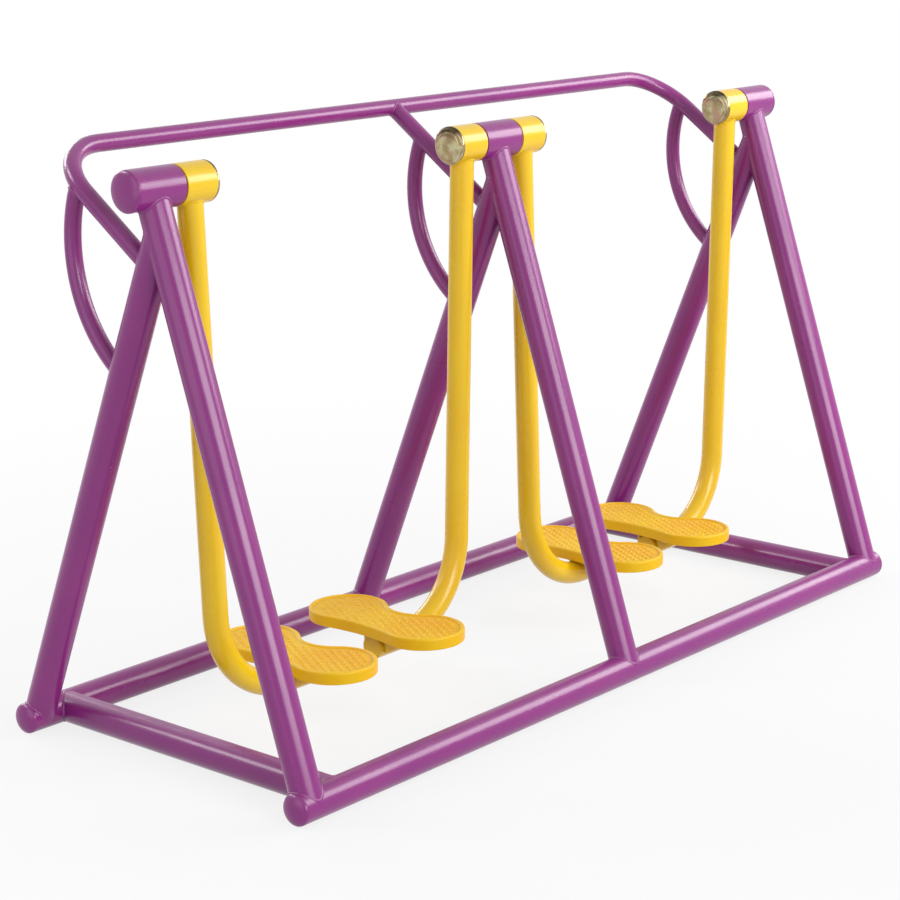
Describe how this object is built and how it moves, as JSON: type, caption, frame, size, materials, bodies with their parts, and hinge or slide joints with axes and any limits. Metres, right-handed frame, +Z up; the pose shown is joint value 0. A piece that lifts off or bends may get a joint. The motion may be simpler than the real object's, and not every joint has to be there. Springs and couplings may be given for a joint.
{
  "type": "outdoor air walker",
  "caption": "Free-standing double outdoor air walker: tube A-frames on a base, bent handrail and separate swinging arms with sole-shaped footplates on ball bearings.",
  "frame": {"origin": "on the ground, at the centre of the base's outline", "axes": "+X along the machine from one A-frame to the next, +Y the way the user faces, towards the handrail, +Z up"},
  "size_m": [1.998, 0.7854, 1.1518],
  "materials": {
    "frame_paint": "glossy purple powder coat on steel tube",
    "arm_paint": "glossy yellow powder coat on steel tube",
    "footplate_paint": "yellow powder coat on a casting, worn a little on the studs",
    "cap_plating": "polished plating, warm grey",
    "axle_steel": "turned, oiled",
    "bearing_steel": "ground and polished",
    "zinc_plate": "zinc plated"
  },
  "bodies": {
    "frame": {"base_rail_front": "frame_paint", "base_rail_rear": "frame_paint", "base_rail_left": "frame_paint", "base_rail_right": "frame_paint", "base_end_caps": "frame_paint", "front_leg_left": "frame_paint", "front_leg_middle": "frame_paint", "front_leg_right": "frame_paint", "rear_leg_left": "frame_paint", "rear_leg_middle": "frame_paint", "rear_leg_right": "frame_paint", "axle_sleeve_left": "frame_paint", "axle_sleeve_middle": "frame_paint", "axle_sleeve_right": "frame_paint", "sleeve_end_caps": "frame_paint", "handrail": "frame_paint", "handrail_stay": "frame_paint", "handrail_brace_left": "frame_paint", "handrail_brace_middle": "frame_paint", "handrail_brace_right": "frame_paint", "axle_left": "axle_steel", "axle_middle": "axle_steel", "axle_right": "axle_steel", "axle_discs": "axle_steel", "bearing_inner_rings": "bearing_steel", "bearing_spacers": "zinc_plate", "axle_washers": "zinc_plate", "axle_nuts": "zinc_plate"},
    "arm_1": {"arm_tube_1": "arm_paint", "bearing_housing_1": "arm_paint", "ball_bearings_1": "bearing_steel", "hub_cap_1": "cap_plating", "footplate_1": "footplate_paint", "footplate_saddle_1": "arm_paint", "footplate_bolts_1": "zinc_plate", "arm_end_plug_1": "arm_paint"},
    "arm_2": {"arm_tube_2": "arm_paint", "bearing_housing_2": "arm_paint", "ball_bearings_2": "bearing_steel", "hub_cap_2": "cap_plating", "footplate_2": "footplate_paint", "footplate_saddle_2": "arm_paint", "footplate_bolts_2": "zinc_plate", "arm_end_plug_2": "arm_paint"},
    "arm_3": {"arm_tube_3": "arm_paint", "bearing_housing_3": "arm_paint", "ball_bearings_3": "bearing_steel", "hub_cap_3": "cap_plating", "footplate_3": "footplate_paint", "footplate_saddle_3": "arm_paint", "footplate_bolts_3": "zinc_plate", "arm_end_plug_3": "arm_paint"},
    "arm_4": {"arm_tube_4": "arm_paint", "bearing_housing_4": "arm_paint", "ball_bearings_4": "bearing_steel", "hub_cap_4": "cap_plating", "footplate_4": "footplate_paint", "footplate_saddle_4": "arm_paint", "footplate_bolts_4": "zinc_plate", "arm_end_plug_4": "arm_paint"}
  },
  "joints": [
    {"name": "arm_1_swing", "type": "hinge", "parent": "frame", "child": "arm_1", "pos_m": [-0.842, -0.014, 1.085], "axis": [1, 0, 0], "range_deg": [-45, 45]},
    {"name": "arm_2_swing", "type": "hinge", "parent": "frame", "child": "arm_2", "pos_m": [-0.093, -0.014, 1.085], "axis": [1, 0, 0], "range_deg": [-45, 45]},
    {"name": "arm_3_swing", "type": "hinge", "parent": "frame", "child": "arm_3", "pos_m": [0.093, -0.014, 1.085], "axis": [1, 0, 0], "range_deg": [-45, 45]},
    {"name": "arm_4_swing", "type": "hinge", "parent": "frame", "child": "arm_4", "pos_m": [0.842, -0.014, 1.085], "axis": [1, 0, 0], "range_deg": [-45, 45]}
  ]
}
